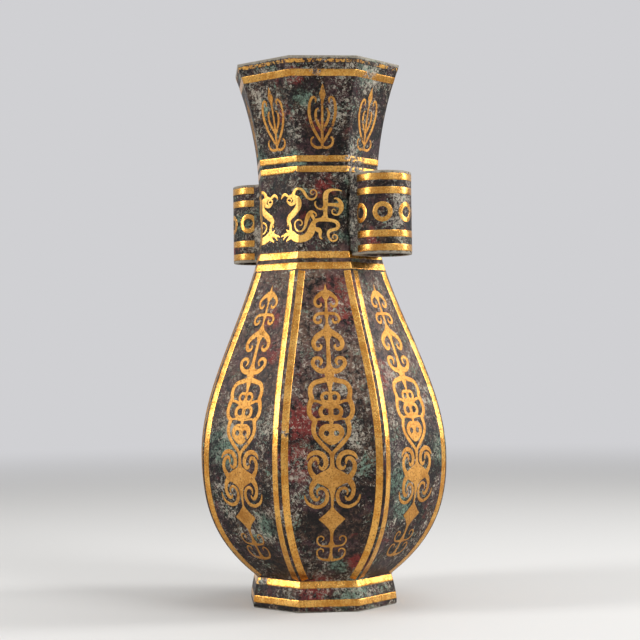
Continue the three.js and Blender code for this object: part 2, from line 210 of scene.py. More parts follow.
def unitPlan():
    # the eight-sided plan with an apothem of 1 and small round corners
    points, corner = [], []
    radius = vessel["cornerRadius"]
    flat = halfTurn * (1 - radius)
    centre = (1 - radius) / math.cos(panelTurn / 2)
    cornerSteps = 4
    for panel in range(panelCount):
        turn = panel * panelTurn
        middle = turn + panelTurn / 2
        normal = (math.sin(turn), -math.cos(turn))
        along = (math.cos(turn), math.sin(turn))
        for share in (-0.97, -0.86, -0.6, -0.3, 0, 0.3, 0.6, 0.86, 0.97):
            u = share * flat
            points.append((normal[0] + along[0] * u, normal[1] + along[1] * u, 0))
            corner.append(max(0.0, abs(share) * 2.6 - 1.6))
        for step in range(cornerSteps + 1):
            angle = turn + step / cornerSteps * panelTurn
            points.append((math.sin(middle) * centre + math.sin(angle) * radius,
                           -math.cos(middle) * centre - math.cos(angle) * radius, 0))
            corner.append(1.0)
    return points, corner


def vesselSection():
    # apothem, height and wear of the closed section, up the outside and down the inside
    bend, rubbed = vessel["rounding"], vessel["rubbedLip"]
    wideStep, fineStep, innerStep = vessel["rowSteps"]
    rows = [(apothemAt(0) - bend * 0.8, 0.0, 0.8), (apothemAt(0) - bend * 0.25, bend * 0.2, 1.0)]
    z = bend
    while z < height - bend - 0.6:  # with finer rows at the top of the foot and below the lip
        rows.append((apothemAt(z), z, max(0.0, (z - height + rubbed) / rubbed * 0.9)))
        z += fineStep if 11 < z < 17 or z > height - 5 else wideStep
    top, topInner = apothemAt(height), innerAt(height)
    rows += [(apothemAt(height - bend), height - bend, 0.9), (top - bend * 0.22, height - bend * 0.22, 1.0),
             (top - bend, height, 0.75), (top * 0.5 + topInner * 0.5, height, 0.45), (topInner + bend, height, 0.7),
             (topInner + bend * 0.2, height - bend * 0.22, 0.9), (innerAt(height - bend), height - bend, 0.5)]
    z = height - bend - innerStep / 2
    ledgeLow, ledgeHigh, ledgeApothem = vessel["ledge"]
    while z > ledgeHigh + innerStep / 2:
        rows.append((innerAt(z), z, 0.0))
        z -= innerStep
    recess = apothemAt(0) - vessel["footRim"]
    rows += [(innerAt(ledgeHigh + 1), ledgeHigh + 0.6, 0.0), (innerAt(ledgeHigh + 1) - 0.6, ledgeHigh, 0.0),
             (ledgeApothem + 0.3, ledgeHigh, 0.0), (ledgeApothem, ledgeHigh - 0.3, 0.0),
             (ledgeApothem, ledgeLow, 0.0), (recess - 0.3, ledgeLow, 0.0), (recess, ledgeLow - 0.3, 0.0),
             (recess, 6.0, 0.0), (recess, bend, 0.3), (recess + bend * 0.25, bend * 0.2, 0.8),
             (recess + bend * 0.8, 0.0, 0.8)]
    return rows


def wander(geometry, position, amount):
    # the same slow unevenness for the wall and for all that is let into it
    noise = geometry.node("ShaderNodeTexNoise", {}, {"Vector": position, "Scale": 42.0, "Detail": 1.5})
    flat = geometry.node("ShaderNodeVectorMath", {"operation": "MULTIPLY"}, {0: position, 1: (1, 1, 0)})
    outward = flat.node("ShaderNodeVectorMath", {"operation": "NORMALIZE"}, {0: flat})
    offset = outward.node("ShaderNodeVectorMath", {"operation": "SCALE"},
                          {0: outward, "Scale": (noise - 0.5) * 2 * amount})
    return geometry.node("GeometryNodeSetPosition", {}, {"Geometry": geometry, "Offset": offset})


def buildWallTree():
    # a closed section carried round a plan: each plan point goes from its inner to its outer place
    tree, start = newTree("castWall", [
        ("Plan", "NodeSocketObject", None), ("Section", "NodeSocketObject", None),
        ("Columns", "NodeSocketInt", 8), ("Rows", "NodeSocketInt", 4),
        ("Unevenness", "NodeSocketFloat", 0.0), ("Material", "NodeSocketMaterial", None)])
    plan = start.node("GeometryNodeObjectInfo", {}, {"Object": start.other("Plan")}, out="Geometry")
    section = start.node("GeometryNodeObjectInfo", {}, {"Object": start.other("Section")}, out="Geometry")
    columns, rows = start.other("Columns"), start.other("Rows")
    grid = start.node("GeometryNodeMeshGrid", {}, {"Size X": 1.0, "Size Y": 1.0,
                                                  "Vertices X": columns + 1, "Vertices Y": rows + 1})
    place = start.node("GeometryNodeInputPosition")
    xyz = place.node("ShaderNodeSeparateXYZ", {}, {0: place})
    column = xyz.math("ROUND", (xyz + 0.5) * columns)
    column = column.math("MODULO", column, columns)
    row = xyz.math("ROUND", (xyz.other(1) + 0.5) * rows)
    row = row.math("MODULO", row, rows)

    def sample(source, kind, value, index):
        return start.node("GeometryNodeSampleIndex", {"data_type": kind, "domain": "POINT"},
                          {"Geometry": source, "Value": value, "Index": index})

    def named(label, kind):
        return start.node("GeometryNodeInputNamedAttribute", {"data_type": kind}, {"Name": label})

    outer = sample(plan, "FLOAT_VECTOR", place, column)
    inner = sample(plan, "FLOAT_VECTOR", named("inner", "FLOAT_VECTOR"), column)
    level = sample(section, "FLOAT_VECTOR", place, row)
    levelXyz = level.node("ShaderNodeSeparateXYZ", {}, {0: level})
    flat = start.node("ShaderNodeMix", {"data_type": "VECTOR", "clamp_factor": False},
                      {0: levelXyz, 4: inner, 5: outer}, out=1)
    flatXyz = flat.node("ShaderNodeSeparateXYZ", {}, {0: flat})
    spot = flat.node("ShaderNodeCombineXYZ", {}, {0: flatXyz, 1: flatXyz.other(1), 2: levelXyz.other(2)})
    wear = sample(section, "FLOAT", named("wear", "FLOAT"), row)
    corner = sample(plan, "FLOAT", named("corner", "FLOAT"), column)
    marked = grid.node("GeometryNodeStoreNamedAttribute", {"data_type": "FLOAT", "domain": "POINT"},
                       {"Geometry": grid, "Name": "wear", "Value": wear})
    marked = marked.node("GeometryNodeStoreNamedAttribute", {"data_type": "FLOAT", "domain": "POINT"},
                         {"Geometry": marked, "Name": "corner", "Value": corner})
    shaped = marked.node("GeometryNodeSetPosition", {}, {"Geometry": marked, "Position": spot})
    welded = shaped.node("GeometryNodeMergeByDistance", {}, {"Geometry": shaped, "Distance": 1e-6})
    endTree(wander(welded, place, start.other("Unevenness")), start.other("Material"))
    return tree


def addWall(name, tree, plan, section, material, uneven):
    # plan rows: outer point, inner point, corner; section rows: share outward, height, wear
    planObject = helperPoints(name + "_plan", [row[0] for row in plan],
                              {"inner": [row[1] for row in plan], "corner": [row[2] for row in plan]})
    sectionObject = helperPoints(name + "_section", [(row[0], 0, row[1]) for row in section],
                                 {"wear": [row[2] for row in section]})
    piece = runTree(tree, name, {"Plan": planObject, "Section": sectionObject, "Columns": len(plan),
                                 "Rows": len(section), "Unevenness": uneven * mm, "Material": material})
    bpy.data.objects.remove(planObject)
    bpy.data.objects.remove(sectionObject)
    return piece


def buildInlayTree(name, layOut):
    # strokes drawn flat get a low crowned section, and layOut then bends them onto the metal
    tree, start = newTree(name, [
        ("Drawing", "NodeSocketObject", None), ("Wall", "NodeSocketObject", None),
        ("Section", "NodeSocketObject", None), ("Step", "NodeSocketFloat", 0.0005),
        ("Relief", "NodeSocketFloat", 0.0001), ("Depth", "NodeSocketFloat", 0.0003),
        ("Turn", "NodeSocketFloat", 0.0), ("Distance", "NodeSocketFloat", 0.037),
        ("Radius", "NodeSocketFloat", 0.0113), ("Unevenness", "NodeSocketFloat", 0.0),
        ("Material", "NodeSocketMaterial", None)])
    drawing = start.node("GeometryNodeObjectInfo", {}, {"Object": start.other("Drawing")}, out="Geometry")
    wall = start.node("GeometryNodeObjectInfo", {}, {"Object": start.other("Wall")}, out="Geometry")
    smooth = drawing.node("GeometryNodeCurveSplineType", {"spline_type": "CATMULL_ROM"}, {"Curve": drawing})
    even = smooth.node("GeometryNodeResampleCurve", {"mode": "LENGTH"},
                       {"Curve": smooth, "Length": start.other("Step")})
    upright = even.node("GeometryNodeSetCurveNormal", {"mode": "Z_UP"}, {"Curve": even})
    radius = start.node("GeometryNodeInputRadius")
    half = radius.math("MAXIMUM", radius, 0.02 * mm)
    noted = upright.node("GeometryNodeStoreNamedAttribute", {"data_type": "FLOAT", "domain": "POINT"},
                         {"Geometry": upright, "Name": "half", "Value": half})
    section = start.node("GeometryNodeObjectInfo", {}, {"Object": start.other("Section")}, out="Geometry")
    solid = noted.node("GeometryNodeCurveToMesh", {}, {"Curve": noted, "Profile Curve": section, "Scale": half,
                                                       "Fill Caps": True})
    place = start.node("GeometryNodeInputPosition")
    xyz = place.node("ShaderNodeSeparateXYZ", {}, {0: place})
    kept = start.node("GeometryNodeInputNamedAttribute", {"data_type": "FLOAT"}, {"Name": "half"})
    ratio = xyz.other(2) / kept
    up = ratio.math("MAXIMUM", ratio, 0.0)
    down = ratio.math("MINIMUM", ratio, 0.0)
    level = up * start.other("Relief") + down * start.other("Depth")
    worn = solid.node("GeometryNodeStoreNamedAttribute", {"data_type": "FLOAT", "domain": "POINT"},
                      {"Geometry": solid, "Name": "wear", "Value": 1 - up})
    spot = layOut(start, wall, xyz, xyz.other(1), level)
    bent = worn.node("GeometryNodeSetPosition", {}, {"Geometry": worn, "Position": spot})
    endTree(wander(bent, place, start.other("Unevenness")), start.other("Material"))
    return tree


def layOnPanels(start, wall, across, up, level):
    # a place past the edge of a panel goes on round the corner onto the next one
    step = up / (vessel["levelStep"] * mm)
    low = step.math("FLOOR", step)
    place = start.node("GeometryNodeInputPosition")
    first = start.node("GeometryNodeSampleIndex", {"data_type": "FLOAT_VECTOR", "domain": "POINT"},
                       {"Geometry": wall, "Value": place, "Index": low})
    second = start.node("GeometryNodeSampleIndex", {"data_type": "FLOAT_VECTOR", "domain": "POINT"},
                        {"Geometry": wall, "Value": place, "Index": low + 1})
    firstX = first.node("ShaderNodeSeparateXYZ", {}, {0: first})
    secondX = second.node("ShaderNodeSeparateXYZ", {}, {0: second})
    apothem = firstX + (secondX - firstX) * (step - low)
    width = apothem * (2 * halfTurn)
    panel = (across / width).math("ROUND", across / width)
    local = across - panel * width
    flat = width * (0.5 * (1 - vessel["cornerRadius"]))
    kept = local.math("MINIMUM", local.math("MAXIMUM", local, flat * -1), flat)
    bend = (local - kept) / (width * 0.5 - flat) * (panelTurn / 2)
    turn = panel * panelTurn + start.other("Turn")
    sine, cosine = turn.math("SINE", turn), turn.math("COSINE", turn)
    arc = turn + bend
    radius = apothem * vessel["cornerRadius"]
    out = apothem - radius
    past = radius + level
    return start.node("ShaderNodeCombineXYZ", {}, {
        0: sine * out + cosine * kept + arc.math("SINE", arc) * past,
        1: sine * kept - cosine * out - arc.math("COSINE", arc) * past, 2: up})


ear = {
    "size": {"right": (37.8, 12.1), "left": (37.0, 11.3)},  # distance of the tube's axis and its radius
    "wall": 2.0,
    "bottom": 154.0,
    "top": 190.0,
    "saddle": (24.4, 9.4),  # how far in it reaches, and half its width there
    "rounding": 0.5,
}


def layOnEar(start, wall, across, up, level):
    # the drawing's middle faces outward and the rest goes round the tube
    angle = across / start.other("Radius")
    out = level + start.other("Radius")
    x = angle.math("COSINE", angle) * out + start.other("Distance")
    y = angle.math("SINE", angle) * out
    turn = start.other("Turn")
    sine, cosine = turn.math("SINE", turn), turn.math("COSINE", turn)
    return start.node("ShaderNodeCombineXYZ", {}, {0: x * cosine - y * sine, 1: x * sine + y * cosine, 2: up})


bronzeLook = {
    "tones": [(0.34, tint(5, 5, 5)), (0.46, tint(18, 14, 13)), (0.53, tint(48, 34, 28)), (0.60, tint(82, 62, 50)),
              (0.68, tint(112, 98, 84))],
    "purple": tint(76, 50, 56),
    # painted sheen: the lighter, warmer colour of the band from about 70 to 158 mm up
    "shoulderSheen": tint(142, 112, 96),
    "green": tint(112, 140, 122),
    "deepGreen": tint(22, 30, 25),
    "red": tint(124, 44, 40),
    "speck": tint(186, 178, 162),
    "greenSpeck": tint(130, 156, 138),
    "dust": tint(196, 188, 172),
    "worn": tint(176, 168, 152),
    "roughness": (0.34, 0.68),
}

# the stronger patches, as direction in degrees, height and reach, or as x, y, z and reach, in millimetres
vesselPatches = {
    "green": [(-13, 58, 8), (-10, 46, 7), (-22, 10, 7), (-34, 5, 4), (-40, 21, 5), (-79, 38, 7), (-100, 72, 10),
              (-24, 176, 5), (-20, 162, 4), (-16, 150, 5), (-8, 236, 7), (-60, 222, 4), (-118, 196, 8),
              (58, 188, 14), (150, 40, 20), (84, 112, 16), (135, 228, 12), (20, 70, 8), (-72, 196, 5)],
    "red": [(-36, 136, 10), (-29, 130, 8), (-79, 112, 7), (-83, 127, 6), (-17, 102, 8), (-59, 84, 9),
            (-61, 66, 8), (-56, 9, 8), (-44, 184, 5), (-66, 232, 4), (-48, 210, 4), (-78, 216, 4),
            (118, 84, 13), (42, 130, 9), (-150, 108, 9), (-28, 22, 6)],
    "dust": [(-45, 144.6, 2.4), (-39.5, 97, 3.6), (-11, 103, 6), (-61, 65, 6), (-36, 77, 7), (-97, 74, 11),
             (-100, 50, 10), (-10, 194, 6), (-18, 188, 5), (-12, 202, 6), (-20, 196, 4), (-6, 233, 8),
             (14, 94, 6), (-88, 238, 7), (-60, 238, 8), (-34, 238, 7), (-8, 239, 6), (-120, 238, 9),
             (-96, 222, 5), (-70, 208, 4), (-34, 214, 5), (-76, 80, 6), (-15, 70, 5), (-145, 40, 14),
             (-128, 92, 9), (60, 60, 12), (160, 210, 12), (100, 150, 8), (-52, 30, 4)],
    "bare": [(-42, 36, 15), (-30, 24, 8), (-50, 172, 8), (-80, 172, 8), (-52, 204, 7), (-80, 24, 8),
             (-84, 60, 5)],
}
earPatches = {
    "green": [(30, -11, 156, 4), (-37, -11, 172, 6), (44, 9, 160, 6), (-46, 6, 182, 6)],
    "red": [(39, -12, 160, 4), (-44, -8, 160, 4)],
    "dust": [(27, -10, 186, 5), (28, -10, 177, 6), (28, -10, 167, 6), (28, -10, 157, 5), (49.5, -2, 176, 7),
             (48, -6, 168, 6), (49, -3, 160, 4), (40, -12, 190, 4), (-27, -10, 180, 6), (-27, -10, 164, 6),
             (-48, -4, 184, 6), (38, 12, 180, 8)],
    "bare": [(38, -12, 172, 4), (43, -11, 178, 3)],
}
lostGold = [(-11, 195, 7), (-4, 192, 4), (-17, 197, 4.5), (-13, 191.5, 5), (-5, 198, 3.5), (-66, 79, 2.2),
            (-86, 75, 2), (-6, 233, 4), (-50, 233, 3), (-110, 11, 4), (140, 154, 4), (30, 150, 3)]


def patchMask(place, patches):
    # 1 in the middle of each patch and 0 outside, with ragged edges
    fray = 14 * mm
    ragged = place.node("ShaderNodeTexNoise", {}, {"Vector": place, "Scale": 190.0, "Detail": 5.0,
                                                  "Roughness": 0.7}, out="Color")
    ragged = ragged.node("ShaderNodeVectorMath", {"operation": "SUBTRACT"}, {0: ragged, 1: (0.5, 0.5, 0.5)})
    ragged = ragged.node("ShaderNodeVectorMath", {"operation": "MULTIPLY_ADD"},
                         {0: ragged, 1: (fray, fray, fray), 2: place})
    total = 0.0
    for patch in patches:
        if len(patch) == 3:
            direction, z, reach = patch
            fromMiddle = (direction + 22.5) % 45 - 22.5  # of its panel, in degrees
            radius = apothemAt(z) / math.cos(math.radians(fromMiddle))
            x, y = radius * math.cos(math.radians(direction)), radius * math.sin(math.radians(direction))
        else:
            x, y, z, reach = patch
        gap = ragged.node("ShaderNodeVectorMath", {"operation": "DISTANCE"},
                          {0: ragged, 1: (x * mm, y * mm, z * mm)}, out="Value")
        total = gap.math("MAXIMUM", total, gap.above(reach * 1.25 * mm, reach * 0.45 * mm))
    return total


def mottle(place, size, detail, roughness, distortion=0.0, shift=(0, 0, 0)):
    # noise in blotches of about size millimetres, and shift takes it from another part of the pattern
    moved = place.node("ShaderNodeVectorMath", {"operation": "ADD"}, {0: place, 1: shift})
    return place.node("ShaderNodeTexNoise", {}, {"Vector": moved, "Scale": 1 / (size * mm), "Detail": detail,
                                                "Roughness": roughness, "Distortion": distortion})


def patina(start, place, look, patches):
    # returns colour, roughness and height of the corroded metal
    broad = mottle(place, 22, 4, 0.6)
    cloud = mottle(place, 6, 5, 0.65, 0.4, (0.31, 0.217, 0))
    grain = mottle(place, 2.3, 5, 0.75, 0.4, (0.17, 0.119, 0))
    fine = mottle(place, 0.9, 4, 0.7, 0.3, (2.3, 1.61, 0))
    dusty, greenness, redness, bare = (patchMask(place, patches.get(kind, []))
                                       for kind in ("dust", "green", "red", "bare"))
    # dark ground with brown clouds, and a lighter, warmer band from about 70 to 158 mm up that is painted sheen
    tone = grain * 0.6 + fine * 0.4 + (cloud - 0.5) * 0.4 + (broad - 0.5) * 0.25
    colour = tone.node("ShaderNodeValToRGB", {"stops": look["tones"]}, {"Fac": tone}, out="Color")
    up = start.node("ShaderNodeSeparateXYZ", {}, {0: place}, out="Z") + (broad - 0.5) * 0.06
    # painted sheen: a height band from about 70 to 158 mm up, broken up by grain and cloud
    shoulderSheen = up.above(0.07, 0.115) * (1 - up.above(0.146, 0.158)) * (grain * 0.6 + cloud * 0.4).above(0.4, 0.58)
    colour = (shoulderSheen * 0.5).blend(colour, look["shoulderSheen"])
    purple = mottle(place, 14, 5, 0.68, 0.3, (0.57, 0.399, 0)).above(0.47, 0.6) * grain.above(0.4, 0.55)
    colour = (purple * 0.55).blend(colour, look["purple"])
    wide = mottle(place, 12, 5, 0.7, 0.4, (0.9, 0.63, 0))
    redPatches = (cloud * 0.35 + grain * 0.65).above(0.42, 0.54) * redness
    redShare = wide.math("MAXIMUM", wide.above(0.6, 0.7) * 0.55, redPatches)
    colour = (redShare * 0.85).blend(colour, look["red"])
    thin = mottle(place, 8, 6, 0.74, 0.5, (1.7, 1.19, 0))
    greenPatches = (fine * 0.35 + grain * 0.65).above(0.43, 0.54) * greenness * 0.6
    greenShare = thin.math("MAXIMUM", thin.above(0.6, 0.68) * grain.above(0.46, 0.58) * 0.6, greenPatches)
    greenTint = (fine * 0.5 + grain * 0.5).above(0.46, 0.56).blend(look["deepGreen"], look["green"])
    colour = greenShare.blend(colour, greenTint)
    # crisp pale specks, thick in some places and rare in others
    flecks = mottle(place, 1.25, 6, 0.8, 0.8, (4.4, 3.08, 0))
    thickness = (cloud - 0.5) * 0.26 + (broad - 0.5) * 0.24 + dusty * 0.055 + greenness * 0.03 - bare * 0.1
    speckShare = (flecks + thickness).above(0.55, 0.59)
    speckTint = (thin + greenness * 0.1).above(0.5, 0.58).blend(look["speck"], look["greenSpeck"])
    colour = (speckShare * (0.35 + cloud.above(0.4, 0.6) * 0.5)).blend(colour, speckTint)
    crust = mottle(place, 3.4, 6, 0.8, 0.6, (3.1, 2.17, 0))
    crustPatches = (crust * 0.6 + fine * 0.4).above(0.52, 0.57) * dusty * 0.6
    crustShare = crust.math("MAXIMUM", crust.above(0.645, 0.68) * 0.75, crustPatches)
    crustTint = (fine * 0.5 + flecks * 0.5).above(0.42, 0.56).blend(look["speck"], look["dust"])
    colour = crustShare.blend(colour, crustTint)
    smoothest, roughest = look["roughness"]
    roughness = smoothest + cloud.above(0.3, 0.7) * (roughest - smoothest)
    roughness = roughness + (crustShare + greenShare + speckShare) * 0.15
    relief = grain * 0.9 + fine * 0.4 + cloud * 0.6 + greenShare * 0.3 + crustShare * 0.5 + speckShare * 0.25
    return colour, roughness, relief


def newMaterial(name):
    material = bpy.data.materials.new(name)
    material.use_nodes = True
    material.node_tree.nodes.clear()
    start = Wire(material.node_tree)
    place = start.node("ShaderNodeTexCoord", out="Object")
    return material, start, place


def finishMaterial(material, start, sockets):
    shader = start.node("ShaderNodeBsdfPrincipled", {}, sockets)
    output = start.tree.nodes.new("ShaderNodeOutputMaterial")
    start.tree.links.new(shader.socket, output.inputs["Surface"])
    return material


def bronzeMaterial(name, look, patches):
    material, start, place = newMaterial(name)
    colour, roughness, relief = patina(start, place, look, patches)
    wear = start.node("ShaderNodeAttribute", {"attribute_name": "wear"}, out="Fac")
    corner = start.node("ShaderNodeAttribute", {"attribute_name": "corner"}, out="Fac")
    rub = start.node("ShaderNodeTexNoise", {}, {"Vector": place, "Scale": 420.0, "Detail": 5.0, "Roughness": 0.7})
    pale = (wear * 0.85 + corner * 0.2 + rub * 1.6 - 0.8).above(0.4, 0.75)
    colour = (pale * 0.62).blend(colour, look["worn"])
    bump = start.node("ShaderNodeBump", {}, {"Strength": 0.8, "Distance": 0.00022, "Height": relief})
    return finishMaterial(material, start, {"Base Color": colour, "Roughness": roughness, "Metallic": 0.0,
                                            "Specular IOR Level": 0.2, "Normal": bump})


goldTints = {
    "bands": {"bright": tint(234, 180, 96), "deep": tint(196, 132, 54), "brown": tint(88, 52, 28)},
    # the dragons' tints are brighter than the bands' as a painted highlight
    "dragons": {"bright": tint(246, 198, 112), "deep": tint(218, 158, 74), "brown": tint(98, 60, 32)},
    "scrolls": {"bright": tint(208, 158, 86), "deep": tint(166, 113, 52), "brown": tint(92, 58, 34)},
}


def goldMaterial(name, look, gone, grime, roughness):
    # gone is the share of the gold that is lost, and grime how dark the dirt on it is, both 0 to 1
    material, start, place = newMaterial(name)
    wear = start.node("ShaderNodeAttribute", {"attribute_name": "wear"}, out="Fac")
    cloud = mottle(place, 6, 4, 0.6, 0.0, (0.4, 0, 0.24))
    fine = mottle(place, 0.8, 3, 0.65, 0.0, (0.8, 0, 0.48))
    streak = mottle(place, 1.8, 5, 0.7, 0.6, (1.3, 0, 0.78))
    colour = (cloud * 0.55 + fine * 0.45).above(0.36, 0.62).blend(look["deep"], look["bright"])
    specks = mottle(place, 0.7, 4, 0.75, 0.4, (3.4, 0, 2.04))
    soiled = (streak * 0.7 + wear * 0.2 + fine * 0.15).above(0.47, 0.62) * grime
    soiled = soiled.math("MAXIMUM", soiled, (specks + wear * 0.06 + (cloud - 0.5) * 0.1).above(0.57, 0.62) * 0.75)
    colour = soiled.blend(colour, look["brown"])
    held = 0.70 - gone * 0.45
    region = mottle(place, 11, 3, 0.6, 0.0, (2.1, 0, 1.26))
    loss = (streak * 0.6 + region * 0.4 + wear * 0.14).above(held, held + 0.055)
    lost = patchMask(place, lostGold)
    loss = loss.math("MAXIMUM", loss, streak.above(0.44, 0.5) * lost)
    bare = patina(start, place, bronzeLook, {"dust": lostGold})[0]
    colour = loss.blend(colour, bare)
    roughness = roughness + (fine - 0.5) * 0.06 + (cloud - 0.5) * 0.3 + soiled * 0.2 + loss * 0.25
    metallic = 1 - loss * 0.85 - soiled * 0.3
    relief = fine * 0.05 + cloud * 0.9 + streak * 0.12 - loss * 0.6 - soiled * 0.2
    bump = start.node("ShaderNodeBump", {}, {"Strength": 0.7, "Distance": 0.00016, "Height": relief})
    return finishMaterial(material, start, {"Base Color": colour, "Roughness": roughness, "Metallic": metallic,
                                            "Normal": bump})


vesselBronze = bronzeMaterial("vessel bronze", bronzeLook, vesselPatches)
earBronze = bronzeMaterial("ear bronze", bronzeLook, earPatches)
plateBronze = bronzeMaterial("plate bronze", bronzeLook, {})
bandGold = goldMaterial("band gold", goldTints["bands"], gone=0.14, grime=0.6, roughness=0.26)
rimGold = goldMaterial("rim gold", goldTints["bands"], gone=0.52, grime=0.8, roughness=0.36)
scrollGold = goldMaterial("scroll gold", goldTints["scrolls"], gone=0.15, grime=0.6, roughness=0.55)
# the dragon gold is a brighter variant of the band gold: painted highlight
dragonGoldPaintedHighlight = goldMaterial("dragon gold with painted highlight", goldTints["dragons"], gone=0.10, grime=0.5, roughness=0.44)
neckGold = goldMaterial("neck gold", goldTints["scrolls"], gone=0.32, grime=0.9, roughness=0.6)
print("finishes made")


wallTree = buildWallTree()
panelInlay = buildInlayTree("inlayOnPanels", layOnPanels)
earInlay = buildInlayTree("inlayOnEar", layOnEar)
planPoints, planCorner = unitPlan()
vesselPlan = [(point, (0, 0, 0), corner) for point, corner in zip(planPoints, planCorner)]


def inMetres(rows):
    return [(row[0] * mm, row[1] * mm, row[2]) for row in rows]


bodyPiece = keepPiece(addWall("vessel_body", wallTree, vesselPlan, inMetres(vesselSection()), vesselBronze,
                              vessel["unevenness"]), "vessel_shell")
print("vessel wall:", len(bodyPiece.data.polygons), "faces")

bands = {
    "relief": 0.07,  # how far the gold stands out of the bronze
    "depth": 0.35,  # how far it goes in
    "edge": 0.16,  # width of its rounded edge
    "rows": {"rim_band_upper": (236.8, 238.7), "rim_band_lower": (231.4, 234.4), "neck_band_upper": (195.1, 197.9),
             "neck_band_lower": (190.6, 193.4), "collar_band_upper": (152.8, 156.0),
             "collar_band_lower": (148.0, 151.2), "foot_band_upper": (10.2, 13.3), "foot_band_lower": (2.4, 5.5)},
}


def bandSection(low, high):
    edge, relief = bands["edge"], bands["relief"]
    rows = [(apothemAt(low) - bands["depth"], low, 1.0), (apothemAt(low), low, 1.0)]
    steps = 6
    for step in range(steps + 1):
        z = low + edge + (high - low - 2 * edge) * step / steps
        crown, rub = (0.75, 0.45) if step in (0, steps) else (1.0, 0.0)
        rows.append((apothemAt(z) + relief * crown, z, rub))
    rows += [(apothemAt(high), high, 1.0), (apothemAt(high) - bands["depth"], high, 1.0)]
    return rows


for node, (low, high) in bands["rows"].items():
    gold = rimGold if node == "rim_band_upper" else bandGold
    keepPiece(addWall("gold_" + node, wallTree, vesselPlan, inMetres(bandSection(low, high)), gold,
                      vessel["unevenness"]), node)

# flat section of a gold stroke, in half widths across and in reliefs or depths downward
sectionAcross = [(-1, 1), (-1, 0), (-0.95, -0.7), (-0.82, -1), (-0.4, -1), (0, -1), (0.4, -1), (0.82, -1),
                 (0.95, -0.7), (1, 0), (1, 1)]
strokeSection = helperCurve("stroke_section", [[(x / mm, y / mm, 1) for x, y in sectionAcross] + ["closed"]])

# the outside of the wall at even heights, for laying drawings on it
levels = [i * vessel["levelStep"] for i in range(int(height / vessel["levelStep"]) + 2)]
wallCurve = helperPoints("wall_curve", [(apothemAt(level) * mm, 0, level * mm) for level in levels])


def addInlay(name, tree, drawing, relief, turn, material, node=None, step=0.5, tube=ear["size"]["left"]):
    piece = runTree(tree, name, {"Drawing": drawing, "Wall": wallCurve, "Section": strokeSection, "Step": step * mm,
                                 "Relief": relief * mm, "Depth": bands["depth"] * mm, "Turn": turn,
                                 "Unevenness": vessel["unevenness"] * mm, "Material": material,
                                 "Distance": tube[0] * mm, "Radius": tube[1] * mm})
    keepPiece(piece, node)


stripes = {
    "low": 13.9,
    "high": 147.4,
    "width": 3.0,
    "toCorner": 0.8,
    "relief": 0.07,
}


def stripeStroke(side):
    count = 60
    half = stripes["width"] / 2
    points = []
    for index in range(count + 1):
        z = stripes["low"] + (stripes["high"] - stripes["low"]) * index / count
        points.append((side * (apothemAt(z) * halfTurn - stripes["toCorner"] - half), z, half))
    return points


for side, label in ((-1, "left"), (1, "right")):
    drawing = helperCurve("stripe_drawing", [stripeStroke(side)])
    for panel in range(panelCount):
        node = f"corner_stripe_{panel + 1}_{label}"
        addInlay("gold_" + node, panelInlay, drawing, stripes["relief"], panel * panelTurn, bandGold,
                 node, step=1.5)
    bpy.data.objects.remove(drawing)
print("bands and stripes laid")


def moved(strokes, side, lift=0.0):
    # the same strokes again, mirrored by a side of -1, and higher by the lift
    result = []
    for stroke in strokes:
        closed = stroke[-1] == "closed"
        points = [(side * across, up + lift, half) for across, up, half in (stroke[:-1] if closed else stroke)]
        result.append(points + ["closed"] if closed else points)
    return result


def ringStroke(across, up, radius, half, count=14):
    angles = [i / count * 2 * math.pi for i in range(count)]
    points = [(across + radius * math.cos(angle), up + radius * math.sin(angle), half) for angle in angles]
    return points + ["closed"]


